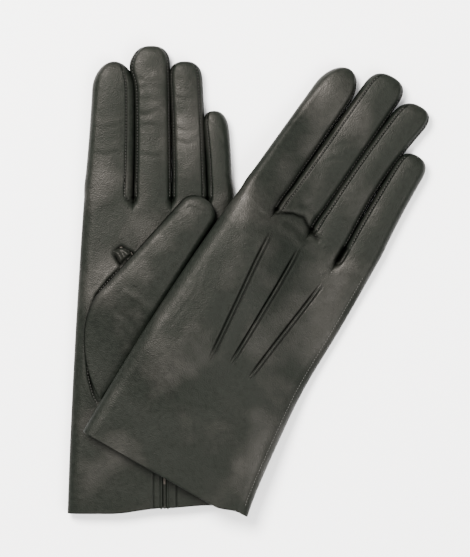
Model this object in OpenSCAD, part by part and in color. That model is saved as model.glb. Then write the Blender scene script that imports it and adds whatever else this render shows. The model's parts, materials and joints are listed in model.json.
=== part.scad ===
/* [Hand] */
// Thickness of a glove's flat hand, from its back to its palm
hand_thick = 10.5; // [10:0.1:11]
// Half the width of the cuff's mouth
cuff_half = 50.5; // [49:0.1:51]
// How far the cuff flares past the hand on the little finger's side
cuff_flare = 6; // [4:0.5:6.5]

/* [Leather and lining] */
// Thickness of the outer leather
leather = 0.9; // [0.7:0.05:1]
// Thickness of the knitted lining
lining = 0.6; // [0.5:0.05:0.7]
// Room between leather and lining in the hand, where hem and tucks lie
hand_room = 0.6; // [0.5:0.05:0.7]
// Room between leather and lining in a finger
finger_room = 0.15; // [0.1:0.05:0.3]

/* [Fingers] */
// Thickness of a flat finger
finger_thick = 11; // [10:0.1:11.5]
// Gap between the hand's end and a finger's root
root_gap = 0.6; // [0.5:0.1:1]
// Thickness of a flat thumb
thumb_thick = 8.6; // [8.2:0.1:8.8]
// Gap between the palm and the thumb that lies on it
thumb_gap = 0.5; // [0.4:0.1:0.6]

/* [Cuff] */
// Depth of the turned-in hem
hem_depth = 13; // [10:1:16]
// Length of the palm vent
vent_len = 32; // [28:1:36]
// Width of each bound edge beside the vent
binding_w = 3.6; // [3:0.1:4]

/* [Points] */
// Width of one of the three raised tucks on the back
tuck_w = 2.4; // [2:0.1:3]
// Height of a tuck above the leather
tuck_h = 1; // [0.6:0.1:1.2]

/* [Placement] */
// Angle of the upper glove, clockwise from the lower one
lie_angle = 29.5; // [29:0.1:30]
// Gap between the lower glove and what lies on it
lie_gap = 0.6; // [0.5:0.1:0.8]

/* [Hidden] */
FINGERS = ["index", "middle", "ring", "little"];
HAND_PARTS = ["hand_leather", "hand_lining", "cuff_hem", "vent_gusset", "vent_binding",
              "back_points", "side_seam", "thumb_seam", "thumb_quirk"];
FINGER_PARTS = ["leather", "fourchettes", "lining"];
SIDES = ["left", "right"];
NODES = [for (side = SIDES) each concat(
    [for (part = HAND_PARTS) str(side, "_", part)],
    [for (finger = FINGERS) for (part = FINGER_PARTS) str(side, "_", finger, "_", part)],
    [str(side, "_thumb_leather"), str(side, "_thumb_lining")])];
node = "all";

leather_colour = "#4b4a44";
lining_colour = "#37322d";
hem_colour = "#42413c";
fourchette_colour = "#55534b";
seam_colour = "#2b2b28";

// A glove's own frame: u across towards the little finger, v from the cuff to the fingertips,
// w from the back's outer face to the palm. Index 0 is the lower, left glove, 1 the upper, right one.
hand_len = [174, 157.4];
cuff_mid = [[-51.5, -127.2], [-45.5, -105.2]];
across = [[1, 0], [cos(lie_angle), -sin(lie_angle)]];
along = [[0, 1], [sin(lie_angle), cos(lie_angle)]];

// Fingers: centre at the root, centre and v at the tip, half widths at root and tip, how far
// the middle bows sideways, how much it narrows, and the length of the rounded tip
left_fingers = [[-26.6, -23.4, 250.3, 13.8, 11.4, 0.6, 0, 16],
                [-1.4, -2.2, 259, 10.2, 9.8, 0.4, 0.2, 11],
                [19.4, 16.6, 250.3, 9.4, 8.9, 0.5, 0.2, 11],
                [36.4, 33.3, 222.5, 6.6, 7.2, 0.8, 0, 13]];
right_fingers = [[-29.4, -20.8, 245.8, 11.6, 10.9, 0, 0, 17],
                 [-5.9, 2.8, 253.8, 11, 10.6, 0, 0, 12],
                 [16.3, 24.5, 247, 10.3, 10, -2.4, 1.3, 13],
                 [37.2, 37, 222, 10.1, 8.6, -0.6, 0.3, 11]];
fingers = [left_fingers, right_fingers];

// The left thumb's outline starts here and runs beside the upper glove's edge
thumb_start = [-30.8, 60.5];
thumb_dir = [0.538, 0.843];
thumb_side = [-0.843, 0.538];
thumb_len = 126.5;
thumb_clear = 1.2;
// The right thumb lies under its palm, from base to tip
tucked_base = [-33, 64];
tucked_tip = [-26, 132];

side_steps = 4;
hand_flats = [0.82, 0.62, 0.4, 0.17, 0.1, -0.1, -0.3, -0.52, -0.72, -0.88];
finger_flats = [0.4, -0.4];
VENT_CELL = 4;
tip_angles = [0, 30, 55, 74, 86];

function smooth(x) = let(t = min(1, max(0, x))) t * t * (3 - 2 * t);
function mix(a, b, t) = a + (b - a) * t;
function distance_to_segment(p, a, b) =
    let(t = min(1, max(0, (p - a) * (b - a) / ((b - a) * (b - a))))) norm(p - a - t * (b - a));

// Height of the upper glove's underside: over the lower glove and its own tucked thumb,
// then down to the table
over_lower = hand_thick + lie_gap;
thumb_lift = thumb_thick + thumb_gap + lie_gap;
drop_start = -2;
drop_length = 44;
bump_core = 13;
bump_fall = 18;
function drape(u, v, plan) =
    over_lower * (1 - smooth((plan.x - drop_start) / drop_length))
    + thumb_lift * (1 - smooth((distance_to_segment([u, v], tucked_base, tucked_tip) - bump_core) / bump_fall));

// From a glove's own frame to the shared frame
function place(g, p) =
    let(plan = cuff_mid[g] + p.x * across[g] + p.y * along[g])
    [plan.x, plan.y, g == 0 ? p.z : drape(p.x, p.y, plan) + hand_thick - p.z];
function place_all(g, points) = [for (p = points) place(g, p)];

// Edges of the flat hand on the index and the little finger's side
function index_edge(g, v) = g == 0
    ? 1.1 - cuff_half + 0.036 * v + 0.0001 * v * v
    : -cuff_half + 0.01 * v + 0.00033 * v * v;
function little_edge(g, v) = (g == 0 ? 44.6 : 47) + cuff_flare * exp(-max(0, v) / 28)
    - 1.6 * exp(-pow((v - 75) / 30, 2));
// How far the cuff's edge lies from v = 0 at u
function cuff_line(g, u) = g == 0
    ? -3.4 + 3.2 * smooth((u + 25) / 30) + 1.6 * smooth((u - 5) / 25)
    : -4.2 + 3.6 * smooth((u - 34) / 14);

// A closed ring of half width w and half thickness r with round ends, shifted to centre c,
// with extra points at the given fractions of its flats
function ring(w, r, c, flats) =
    let(h = min(r, w), flat = w - h)
    concat(
        [for (k = [0:side_steps]) let(a = -90 + 180 * k / side_steps)
            c + [flat + h * cos(a), h * sin(a)]],
        [for (f = flats) c + [flat * f, h]],
        [for (k = [0:side_steps]) let(a = 90 + 180 * k / side_steps)
            c + [-flat + h * cos(a), h * sin(a)]],
        [for (i = [len(flats) - 1:-1:0]) c + [flat * flats[i], -h]]);

// Rows of rings in a glove's frame, inset by d
function hand_ring(g, v, d) =
    let(a = index_edge(g, v), b = little_edge(g, v))
    [for (q = ring((b - a) / 2 - d, hand_thick / 2 - d, [(a + b) / 2, hand_thick / 2], hand_flats))
        [q.x, v + cuff_line(g, q.x) * (1 - smooth(v / vent_len)), q.y]];
function hand_rows(g) =
    let(steps = 7) concat([0, hem_depth, vent_len],
        [for (k = [1:steps]) mix(vent_len, hand_len[g], k / steps)]);

function finger_ring(g, f, row, d) =
    let(spec = fingers[g][f],
        root = hand_len[g] + root_gap,
        tip_r = spec[7],
        body = spec[2] - tip_r,
        steps = 4,
        in_tip = row > steps,
        a = in_tip ? tip_angles[row - steps] : 0,
        v = in_tip ? body + (tip_r - d) * sin(a) : mix(root, body, row / steps),
        t = (v - root) / (spec[2] - root),
        w = mix(spec[3], spec[4], min(1, t)) - spec[6] * sin(180 * min(1, t)),
        c = [mix(spec[0], spec[1], t) + spec[5] * sin(180 * min(1, t)), finger_thick / 2])
    [for (q = ring((w - d) * cos(a), (finger_thick / 2 - d) * cos(a), c, finger_flats))
        [q.x, v, (g == 0 ? 0 : hand_thick - finger_thick) + q.y]];

// Width of the left thumb's outline, measured from the upper glove's edge
function thumb_width(t) = t < 48
    ? 33.4 * pow(1 - pow(1 - max(t, 0.6) / 48, 2), 0.85)
    : 33.4 - 0.17 * (t - 48);
thumb_rows = 10;
function thumb_ring(g, row, d) = g == 0 ? lying_thumb_ring(row, d) : tucked_thumb_ring(row, d);
function thumb_height(t) = thumb_thick / 2 * mix(0.45, 1, smooth(t * 2.2));
function lying_thumb_ring(row, d) =
    let(tip_r = 9,
        in_tip = row > 6,
        a = in_tip ? tip_angles[row - 6] : 0,
        t = in_tip ? thumb_len - tip_r + (tip_r - d) * sin(a) : mix(5 + d, thumb_len - tip_r, row / 6),
        full = (thumb_width(min(t, thumb_len - tip_r)) - thumb_clear) / 2,
        base = thumb_start + t * thumb_dir,
        h = thumb_height(t / thumb_len))
    [for (q = ring((full - d) * cos(a), (h - d) * cos(a), [0, h], finger_flats))
        let(uv = base + (thumb_clear + full + q.x * -1) * thumb_side)
        [uv.x, uv.y, hand_thick + thumb_gap + q.y]];
function tucked_thumb_ring(row, d) =
    let(tip_r = 10,
        in_tip = row > 6,
        a = in_tip ? tip_angles[row - 6] : 0,
        v = in_tip ? tucked_tip.y - tip_r + (tip_r - d) * sin(a)
            : mix(tucked_base.y + d, tucked_tip.y - tip_r, row / 6),
        t = (v - tucked_base.y) / (tucked_tip.y - tucked_base.y),
        full = mix(7, 11.5, smooth(t * 2.4)) - 1.5 * smooth(t * 1.2 - 0.2),
        h = thumb_height(t))
    [for (q = ring((full - d) * cos(a), (h - d) * cos(a),
                   [mix(tucked_base.x, tucked_tip.x, t), h], finger_flats))
        [q.x, v, hand_thick + thumb_gap + q.y]];

// Faces cut into triangles that fan from their first point, turned over when flip is true
function triangles(faces, flip) = [for (f = faces) for (k = [1:len(f) - 2])
    flip ? [f[0], f[k + 1], f[k]] : [f[0], f[k], f[k + 1]]];

// Trim that lies on the hand follows its facets: the height at u, v on the face of the hand
// mesh that holds the point, on its back or its palm
function hand_column(g, v, j) =
    let(a = index_edge(g, v), b = little_edge(g, v), flat = (b - a) / 2 - hand_thick / 2)
    (a + b) / 2 + flat * concat([1], hand_flats, [-1])[j];
function hand_corner(g, v, j) =
    let(u = hand_column(g, v, j)) drape(u, v, cuff_mid[g] + u * across[g] + v * along[g]);
function facet_height(g, u, v, back) =
    let(rows = hand_rows(g),
        i = max([for (k = [0:len(rows) - 2]) if (rows[k] <= v) k]),
        low = rows[i],
        high = rows[i + 1],
        up = (v - low) / (high - low),
        columns = [for (j = [0:len(hand_flats) + 1])
            mix(hand_column(g, low, j), hand_column(g, high, j), up)],
        j = max([for (k = [0:len(columns) - 2]) if (columns[k] >= u) k]),
        left = (columns[j] - u) / (columns[j] - columns[j + 1]),
        near = back ? j + 1 : j,
        far = back ? j : j + 1,
        over = back ? 1 - left : left,
        start = hand_corner(g, low, near),
        end = hand_corner(g, high, far))
    over >= up
        ? start + over * (hand_corner(g, low, far) - start) + up * (end - hand_corner(g, low, far))
        : start + up * (hand_corner(g, high, near) - start)
            + over * (end - hand_corner(g, high, near));
function place_on_hand(g, points, back) = [for (p = points)
    g == 0 ? place(g, p)
        : let(plan = cuff_mid[g] + p.x * across[g] + p.y * along[g])
            [plan.x, plan.y, facet_height(g, p.x, p.y, back) + hand_thick - p.z]];

// A shell between two stacks of rings. keep(i, j) says which cells exist; a capped shell is
// closed past its last ring. The lower glove's rings run the other way round.
module shell(outer, inner, keep, capped, flip) {
    rows = len(outer);
    cols = len(outer[0]);
    half = rows * cols;
    o = function(i, j) i * cols + (j % cols);
    n = function(i, j) half + i * cols + (j % cols);
    has = function(i, j) i >= 0 && i < rows - 1 && keep(i, (j + cols) % cols);
    cells = [for (i = [0:rows - 2]) for (j = [0:cols - 1]) if (has(i, j)) each concat(
        [[o(i, j), o(i, j + 1), o(i + 1, j + 1), o(i + 1, j)],
         [n(i, j), n(i + 1, j), n(i + 1, j + 1), n(i, j + 1)]],
        has(i - 1, j) ? [] : [[o(i, j + 1), o(i, j), n(i, j), n(i, j + 1)]],
        has(i, j + 1) ? [] : [[o(i + 1, j + 1), o(i, j + 1), n(i, j + 1), n(i + 1, j + 1)]],
        has(i + 1, j) || (capped && i == rows - 2) ? []
            : [[o(i + 1, j), o(i + 1, j + 1), n(i + 1, j + 1), n(i + 1, j)]],
        has(i, j - 1) ? [] : [[o(i, j), o(i + 1, j), n(i + 1, j), n(i, j)]])];
    // The caps fan out from the middle of a rounded side, so that no triangle is flat.
    side = floor(side_steps / 2);
    caps = capped ? [[for (j = [0:cols - 1]) o(rows - 1, side + j)],
                     [for (j = [cols - 1:-1:0]) n(rows - 1, side + j)]] : [];
    polyhedron(points = concat([for (r = outer) each r], [for (r = inner) each r]),
               faces = triangles(concat(cells, caps), flip), convexity = 8);
}

// A solid bar through a stack of equal sections
module bar(sections, flip) {
    rows = len(sections);
    cols = len(sections[0]);
    o = function(i, j) i * cols + (j % cols);
    faces = concat(
        [for (i = [0:rows - 2]) for (j = [0:cols - 1])
            [o(i, j), o(i, j + 1), o(i + 1, j + 1), o(i + 1, j)]],
        [[for (j = [cols:-1:1]) o(0, j)], [for (j = [0:cols - 1]) o(rows - 1, j)]]);
    polyhedron(points = [for (s = sections) each s], faces = triangles(faces, flip), convexity = 4);
}

// Which of a ring's cells lie on the little finger's side, the palm, the index side, the back
function palm_cell(j, flats) = j >= side_steps && j < side_steps + len(flats) + 1;
function in_vent(i, j) = i < 2 && j == side_steps + VENT_CELL - 1;
function in_thumb_hole(i, j) = i >= 4 && i <= 5 && j >= side_steps + 7 && j <= side_steps + 9;

module hand_shell(g, rows, d0, d1, keep) {
    shell([for (v = rows) place_all(g, hand_ring(g, v, d0))],
          [for (v = rows) place_all(g, hand_ring(g, v, d1))], keep, false, g == 1);
}

// The trank: one skin folded round the index side, with the palm vent and the thumb's hole
module hand_leather(g) {
    color(leather_colour)
        hand_shell(g, hand_rows(g), 0, leather,
                   function(i, j) !in_vent(i, j) && !in_thumb_hole(i, j));
}

module hand_lining(g) {
    rows = hand_rows(g);
    inner = leather + hand_room;
    starts = concat([hem_depth + 0.4], [for (i = [2:len(rows) - 1]) rows[i]]);
    color(lining_colour)
        hand_shell(g, starts, inner, inner + lining,
                   function(i, j) !in_vent(i + 1, j) && !in_thumb_hole(i + 1, j));
}

// Leather turned in at the cuff, open at the vent
module cuff_hem(g) {
    color(hem_colour)
        hand_shell(g, [0, hem_depth], leather, leather + hand_room + 0.2,
                   function(i, j) j != side_steps + VENT_CELL - 1);
}

// A strip laid on the palm along v from v0 to v1 between two distances from the vent's slit
module palm_strip(g, v0, v1, a, b, w0, w1) {
    bar([for (v = [v0, (v0 + v1) / 2, v1])
        place_all(g, [[a, v, w0], [b, v, w0], [b, v, w1], [a, v, w1]])], g == 0);
}

function vent_edge(g, k) =
    let(v = vent_len / 2, a = index_edge(g, v), b = little_edge(g, v))
    (a + b) / 2 + ((b - a) / 2 - hand_thick / 2) * hand_flats[VENT_CELL - 1 + k];

// Folded strip of leather behind the vent's slit
module vent_gusset(g) {
    color(fourchette_colour)
        palm_strip(g, hem_depth + 0.6, vent_len + 3, vent_edge(g, 1) - 3, vent_edge(g, 0) + 3,
                   hand_thick - leather - hand_room + 0.05, hand_thick - leather - 0.05);
}

// Bound edges on both sides of the vent
module vent_binding(g) {
    proud = 0.2;
    color(leather_colour) {
        palm_strip(g, 0.2, vent_len - 1, vent_edge(g, 0) + 0.1, vent_edge(g, 0) + binding_w,
                   hand_thick, hand_thick + proud);
        palm_strip(g, 0.2, vent_len - 1, vent_edge(g, 1) - binding_w, vent_edge(g, 1) - 0.1,
                   hand_thick, hand_thick + proud);
    }
}

// The three tucks: raised on the upper glove, pressed inwards where the lower one lies on them
tuck_lines = [[[-13.5, 144], [-8.2, 65.5]], [[4.8, 143.5], [3.2, 69.5]], [[25.7, 133], [16.1, 67]]];
module back_points(g) {
    steps = 24;
    height = g == 0 ? -(hand_room - 0.1) : tuck_h;
    start = g == 0 ? leather : -0.7;
    color(leather_colour)
        for (line = tuck_lines)
            bar([for (k = [0:steps]) let(
                    c = mix(line[0], line[1], k / steps),
                    h = height * (0.3 + 0.7 * sin(180 * k / steps)))
                place_on_hand(g, [[c.x - tuck_w / 2, c.y, start], [c.x + tuck_w / 2, c.y, start],
                                  [c.x + tuck_w / 4, c.y, start - h],
                                  [c.x - tuck_w / 4, c.y, start - h]], true)],
                g == 0);
}

// The sewn edge along the little finger's side
module side_seam(g) {
    proud = 0.8;
    gap = 0.04;
    mid = hand_thick / 2;
    color(seam_colour)
        bar([for (row = hand_rows(g)) let(
                edge = little_edge(g, row),
                v = row + cuff_line(g, edge) * (1 - smooth(row / vent_len)),
                u = edge + gap)
            place_all(g, [[u, v, mid - 0.7], [u + proud, v, mid - 0.4],
                          [u + proud, v, mid + 0.4], [u, v, mid + 0.7]])], g == 1);
}

// The welt where the thumb is set into the palm
function thumb_base_edge(g, k) = g == 0
    ? let(t = mix(8, 46, k)) thumb_start + t * thumb_dir + (thumb_width(t) + 1.6) * thumb_side
    : [-42.4 - 0.3 * sin(180 * k), mix(70, 112, k)];
module thumb_seam(g) {
    steps = 8;
    height = 0.3;
    width = 1.2;
    color(seam_colour)
        bar([for (k = [0:steps]) let(c = thumb_base_edge(g, k / steps))
            place_all(g, [[c.x - width, c.y, hand_thick], [c.x, c.y, hand_thick],
                          [c.x - 0.3, c.y, hand_thick + height],
                          [c.x - width + 0.3, c.y, hand_thick + height]])], g == 1);
}

// Small kite-shaped gusset between thumb and index finger
quirk_outline = [[[-24, 143.4], [-19, 146], [-12.5, 142.2], [-19.2, 136.4]],
                 [[-18.9, 142.2], [-24.4, 143], [-22.4, 150.2], [-18.4, 148]]];
module thumb_quirk(g) {
    height = 0.45;
    gap = 0.02;
    color(fourchette_colour)
        bar([for (w = [hand_thick + gap, hand_thick + height])
            place_on_hand(g, [for (p = quirk_outline[g]) [p.x, p.y, w]], false)], g == 0);
}

FINGER_ROWS = 8;
function fourchette_cell(f, i, j) =
    let(little_side = j >= 1 && j < side_steps - 1 && f < 3,
        start = side_steps + len(finger_flats) + 1,
        index_side = j >= start + 1 && j < start + side_steps - 1 && f > 0)
    i < 4 && (little_side || index_side);

module finger_shell(g, f, d0, d1, keep, capped) {
    shell([for (row = [0:FINGER_ROWS]) place_all(g, finger_ring(g, f, row, d0))],
          [for (row = [0:FINGER_ROWS]) place_all(g, finger_ring(g, f, row, d1))],
          keep, capped, g == 1);
}

// Palm and back panels of a finger, joined over the tip
module finger_leather(g, f) {
    color(leather_colour)
        finger_shell(g, f, 0, leather, function(i, j) !fourchette_cell(f, i, j), true);
}

// Strips sewn between the panels along the finger's inner sides
module finger_fourchettes(g, f) {
    color(fourchette_colour)
        finger_shell(g, f, 0, leather, function(i, j) fourchette_cell(f, i, j), false);
}

module finger_lining(g, f) {
    inner = leather + finger_room;
    color(lining_colour)
        finger_shell(g, f, inner, inner + lining, function(i, j) true, true);
}

module thumb_shell(g, d0, d1) {
    shell([for (row = [0:thumb_rows]) place_all(g, thumb_ring(g, row, d0))],
          [for (row = [0:thumb_rows]) place_all(g, thumb_ring(g, row, d1))],
          function(i, j) !(i >= 1 && i <= 2 && j >= 2 * side_steps + len(finger_flats) + 2
                           && j < 2 * side_steps + 2 * len(finger_flats) + 1),
          true, g == 1);
}

module thumb_leather(g) {
    color(leather_colour) thumb_shell(g, 0, leather);
}

module thumb_lining(g) {
    inner = leather + finger_room;
    color(lining_colour) thumb_shell(g, inner, inner + lining);
}

function wanted(g, name) = node == "all" || node == str(SIDES[g], "_", name);

for (g = [0, 1]) {
    if (wanted(g, "hand_leather")) hand_leather(g);
    if (wanted(g, "hand_lining")) hand_lining(g);
    if (wanted(g, "cuff_hem")) cuff_hem(g);
    if (wanted(g, "vent_gusset")) vent_gusset(g);
    if (wanted(g, "vent_binding")) vent_binding(g);
    if (wanted(g, "back_points")) back_points(g);
    if (wanted(g, "side_seam")) side_seam(g);
    if (wanted(g, "thumb_seam")) thumb_seam(g);
    if (wanted(g, "thumb_quirk")) thumb_quirk(g);
    if (wanted(g, "thumb_leather")) thumb_leather(g);
    if (wanted(g, "thumb_lining")) thumb_lining(g);
    for (f = [0:3]) {
        if (wanted(g, str(FINGERS[f], "_leather"))) finger_leather(g, f);
        if (wanted(g, str(FINGERS[f], "_fourchettes"))) finger_fourchettes(g, f);
        if (wanted(g, str(FINGERS[f], "_lining"))) finger_lining(g, f);
    }
}
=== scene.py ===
import json
import math

import bpy
import numpy as np
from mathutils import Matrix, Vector

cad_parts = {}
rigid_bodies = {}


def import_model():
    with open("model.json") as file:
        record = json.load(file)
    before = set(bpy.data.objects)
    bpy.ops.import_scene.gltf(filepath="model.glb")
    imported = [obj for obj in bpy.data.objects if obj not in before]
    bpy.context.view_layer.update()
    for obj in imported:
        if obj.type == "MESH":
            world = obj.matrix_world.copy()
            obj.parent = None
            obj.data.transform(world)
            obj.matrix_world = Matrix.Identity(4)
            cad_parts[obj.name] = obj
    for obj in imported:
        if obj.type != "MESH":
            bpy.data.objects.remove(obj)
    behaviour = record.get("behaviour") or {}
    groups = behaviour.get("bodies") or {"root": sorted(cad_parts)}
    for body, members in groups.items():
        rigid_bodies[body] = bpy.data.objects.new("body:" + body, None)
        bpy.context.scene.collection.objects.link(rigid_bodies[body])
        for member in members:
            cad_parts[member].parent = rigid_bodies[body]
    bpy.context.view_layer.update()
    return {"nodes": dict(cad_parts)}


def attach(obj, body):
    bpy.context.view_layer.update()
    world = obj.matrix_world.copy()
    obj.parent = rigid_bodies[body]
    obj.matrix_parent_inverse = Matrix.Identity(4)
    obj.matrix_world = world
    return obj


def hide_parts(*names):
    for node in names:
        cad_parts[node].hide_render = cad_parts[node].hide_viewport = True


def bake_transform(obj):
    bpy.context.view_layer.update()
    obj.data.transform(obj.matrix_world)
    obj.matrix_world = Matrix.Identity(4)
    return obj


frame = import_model()

# Lengths are in millimetres until a mesh is made. A glove's own frame has u across towards the
# little finger, v from the cuff to the fingertips and h up from its underside.
MM = 0.001
HAND_THICK = 10.5
FINGER_THICK = 11.0
THUMB_THICK = 8.6
# How high the right glove lies above the table where it crosses the left one
OVER_LOWER = HAND_THICK + 0.6
# The right thumb, folded under its palm: its thickness, how far it lifts the palm, and its line
TUCKED_THICK = 3.4
TUCKED_LIFT = 4.6
TUCKED_THUMB = ((-33, 64), (-26, 132))
LIE_ANGLE = math.radians(29.5)
HEM_DEPTH = 13.0
VENT_LENGTH = 22.0
VENT_ACROSS = 5.3
# How far the linings lie inside the outer faces of the leather
HAND_LINING_INSET = 1.35
FINGER_LINING_INSET = 1.3
THUMB_LINING_INSET = 1.2
# Columns on each side strip and panel of a finger, and the spacing of rows and rounded tips
SIDE_STEPS = 7
PANEL_STEPS = 38
ROW_STEP = 1.0
LINING_STEP = 3.0
TIP_ROWS = 14
FINGERS = ("index", "middle", "ring", "little")


def smooth(x):
    """0 up to x = 0 and 1 from x = 1, with a soft step between."""
    t = np.clip(x, 0, 1)
    return t * t * (3 - 2 * t)


def mix(a, b, t):
    """From a at t = 0 to b at t = 1."""
    return a + (b - a) * t


def segment_distance(u, v, a, b):
    """Distance from points to the segment a-b, and how far along it the nearest point is."""
    a, b = np.array(a, float), np.array(b, float)
    d = b - a
    t = np.clip(((u - a[0]) * d[0] + (v - a[1]) * d[1]) / (d @ d), 0, 1)
    return np.hypot(u - a[0] - t * d[0], v - a[1] - t * d[1]), t


def path_distance(u, v, path):
    """Distance from points to a path, and the share of its length at the nearest point."""
    lengths = [math.dist(a, b) for a, b in zip(path, path[1:])]
    best = np.full(np.broadcast(u, v).shape, 1e9)
    share = np.zeros_like(best)
    done = 0.0
    for (a, b), length in zip(zip(path, path[1:]), lengths):
        d, t = segment_distance(u, v, a, b)
        nearer = d < best
        best = np.where(nearer, d, best)
        share = np.where(nearer, (done + t * length) / sum(lengths), share)
        done += length
    return best, share


def curve_through(points, step):
    """Points about step apart on a smooth curve through the given points."""
    p = [np.array(q, float) for q in points]
    p = [2 * p[0] - p[1], *p, 2 * p[-1] - p[-2]]
    out = []
    for a, b, c, d in zip(p, p[1:], p[2:], p[3:]):
        for t in np.arange(0, 1, step / max(np.linalg.norm(c - b), step)):
            out.append(
                0.5
                * (
                    2 * b
                    + (c - a) * t
                    + (2 * a - 5 * b + 4 * c - d) * t**2
                    + (3 * b - a - 3 * c + d) * t**3
                )
            )
    out.append(p[-2])
    return out


def waves(u, v, scale, seed, count=14):
    """A soft random surface from -1 to 1 with bumps about scale across, the same each run."""
    rng = np.random.default_rng(seed)
    total = np.zeros(np.broadcast(u, v).shape)
    for _ in range(count):
        angle, phase = rng.uniform(0, 2 * math.pi, 2)
        size = scale * rng.uniform(0.7, 1.6)
        total = total + np.sin(
            (u * math.cos(angle) + v * math.sin(angle)) * 2 * math.pi / size + phase
        )
    return total / math.sqrt(count) / 1.5


def project(node, direction):
    """How far along a direction each vertex of a CAD node lies, in millimetres."""
    points = np.array([v.co[:2] for v in frame["nodes"][node].data.vertices])
    return points @ direction / MM


class Glove:
    """The measures of one glove and its place, read from its CAD hand."""

    def __init__(self, side, angle, hand_len, index_side, little_side, fingers, bands):
        self.side = side
        self.across = np.array([math.cos(angle), -math.sin(angle)])
        self.along = np.array([math.sin(angle), math.cos(angle)])
        self.hand_len = hand_len
        self.index_side = index_side
        self.little_side = little_side
        self.fingers = fingers
        self.bands = bands
        hand = f"{side}_hand_leather"
        u0 = project(hand, self.across).min() - index_side(0.0)
        v0 = project(hand, self.along).max() - hand_len
        self.origin = u0 * self.across + v0 * self.along
        self.strokes = []
        self.crotches = []

    def base(self, u, v):
        """Height of the glove's underside above the table."""
        if self.side == "left":
            return np.zeros(np.broadcast(u, v).shape)
        x = self.origin[0] + u * self.across[0] + v * self.along[0]
        d, _ = segment_distance(u, v, *TUCKED_THUMB)
        return OVER_LOWER * (1 - smooth((x + 2) / 44)) + TUCKED_LIFT * (
            1 - smooth((d - 4) / 40)
        )

    def world(self, u, v, h):
        """Points in metres in the shared frame."""
        plan = (
            self.origin
            + np.multiply.outer(u, self.across)
            + np.multiply.outer(v, self.along)
        )
        return np.concatenate([plan, (self.base(u, v) + h)[..., None]], -1) * MM

    def point(self, u, v, h):
        return tuple(float(x) for x in self.world(np.float64(u), np.float64(v), h))

    def edges(self, v):
        return self.index_side(v), self.little_side(v)

    def cuff_shift(self, u, v):
        if self.side == "left":
            line = -3.4 + 3.2 * smooth((u + 25) / 30) + 1.6 * smooth((u - 5) / 25)
        else:
            line = -4.2 + 3.6 * smooth((u - 34) / 14)
        return line * (1 - smooth(v / 32))


def left_index_side(v):
    return -49.4 + 0.036 * v + 0.0001 * v**2


def right_index_side(v):
    return -50.5 + 0.01 * v + 0.00033 * v**2


def little_side(width):
    def side(v):
        waist = 1.6 * np.exp(-(((v - 75) / 30) ** 2))
        return width + 6 * np.exp(-np.maximum(v, 0) / 28) - waist

    return side


# Each finger: centre at root and tip, v of its tip, half widths at root and tip, sideways bow,
# waist, and length of the rounded tip
LEFT_FINGERS = (
    (-26.6, -23.4, 250.3, 13.8, 11.4, 0.6, 0, 16),
    (-1.4, -2.2, 259, 10.2, 9.8, 0.4, 0.2, 11),
    (19.4, 16.6, 250.3, 9.4, 8.9, 0.5, 0.2, 11),
    (36.4, 33.3, 222.5, 6.6, 7.2, 0.8, 0, 13),
)
RIGHT_FINGERS = (
    (-29.4, -20.8, 245.8, 11.6, 10.9, 0, 0, 17),
    (-5.9, 2.8, 253.8, 11, 10.6, 0, 0, 12),
    (16.3, 24.5, 247, 10.3, 10, -2.4, 1.3, 13),
    (37.2, 37, 222, 10.1, 8.6, -0.6, 0.3, 11),
)
# Width of the side strip between a finger's edge and its panel, on its index and little side.
# The outer sides of the index and little finger have no strip, only a soft fold.
LEFT_BANDS = ((4.5, 5.0), (1.7, 1.3), (1.4, 2.4), (2.4, 3.5))
SOFTEST_FOLD = 3.9
TOUCHING = 0.5
VALLEY = 10.0
RIGHT_BANDS = ((4.5, 1.0), (3.2, 1.0), (2.7, 1.0), (2.4, 4.0))

left = Glove(
    "left", 0.0, 174.0, left_index_side, little_side(44.6), LEFT_FINGERS, LEFT_BANDS
)
right = Glove(
    "right",
    LIE_ANGLE,
    157.4,
    right_index_side,
    little_side(47.0),
    RIGHT_FINGERS,
    RIGHT_BANDS,
)
left.crotches = [174.0, 174.0, 173.0]
right.crotches = [156.8, 157.0, 149.0]


def root_bounds(glove):
    """u of the five lines at the hand's end between which the four fingers start."""
    first, last = glove.edges(glove.hand_len)
    inner = [
        (a[0] + a[3] + b[0] - b[3]) / 2
        for a, b in zip(glove.fingers, glove.fingers[1:])
    ]
    return [float(first), *inner, float(last)]


def column_shares(band_a, band_b, width):
    """Shares of a finger's width at which its columns lie: strip, panel, strip."""
    bend = np.linspace(0, math.pi / 2, SIDE_STEPS + 1)
    strip = 1 - np.cos(bend)
    first = strip[:-1] * band_a / width
    panel = np.linspace(band_a / width, 1 - band_b / width, PANEL_STEPS + 1)
    last = 1 - strip[-2::-1] * band_b / width
    return np.concatenate([first, panel, last])


def section(distance_a, distance_b, band_a, band_b, crown=0.2):
    """Half height of a crowned flat tube, from 0 at its edges to 1, at distances from its edges."""
    width = distance_a + distance_b

    def side(distance, band):
        share = np.clip(distance / max(band, SOFTEST_FOLD), 0, 1)
        return np.sqrt(1 - (1 - share) ** 2)

    middle = np.clip(distance_a / width, 0, 1)
    dome = 1 - (2 * middle - 1) ** 2
    return np.minimum(side(distance_a, band_a), side(distance_b, band_b)) * (
        1 - crown + crown * dome
    )


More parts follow.
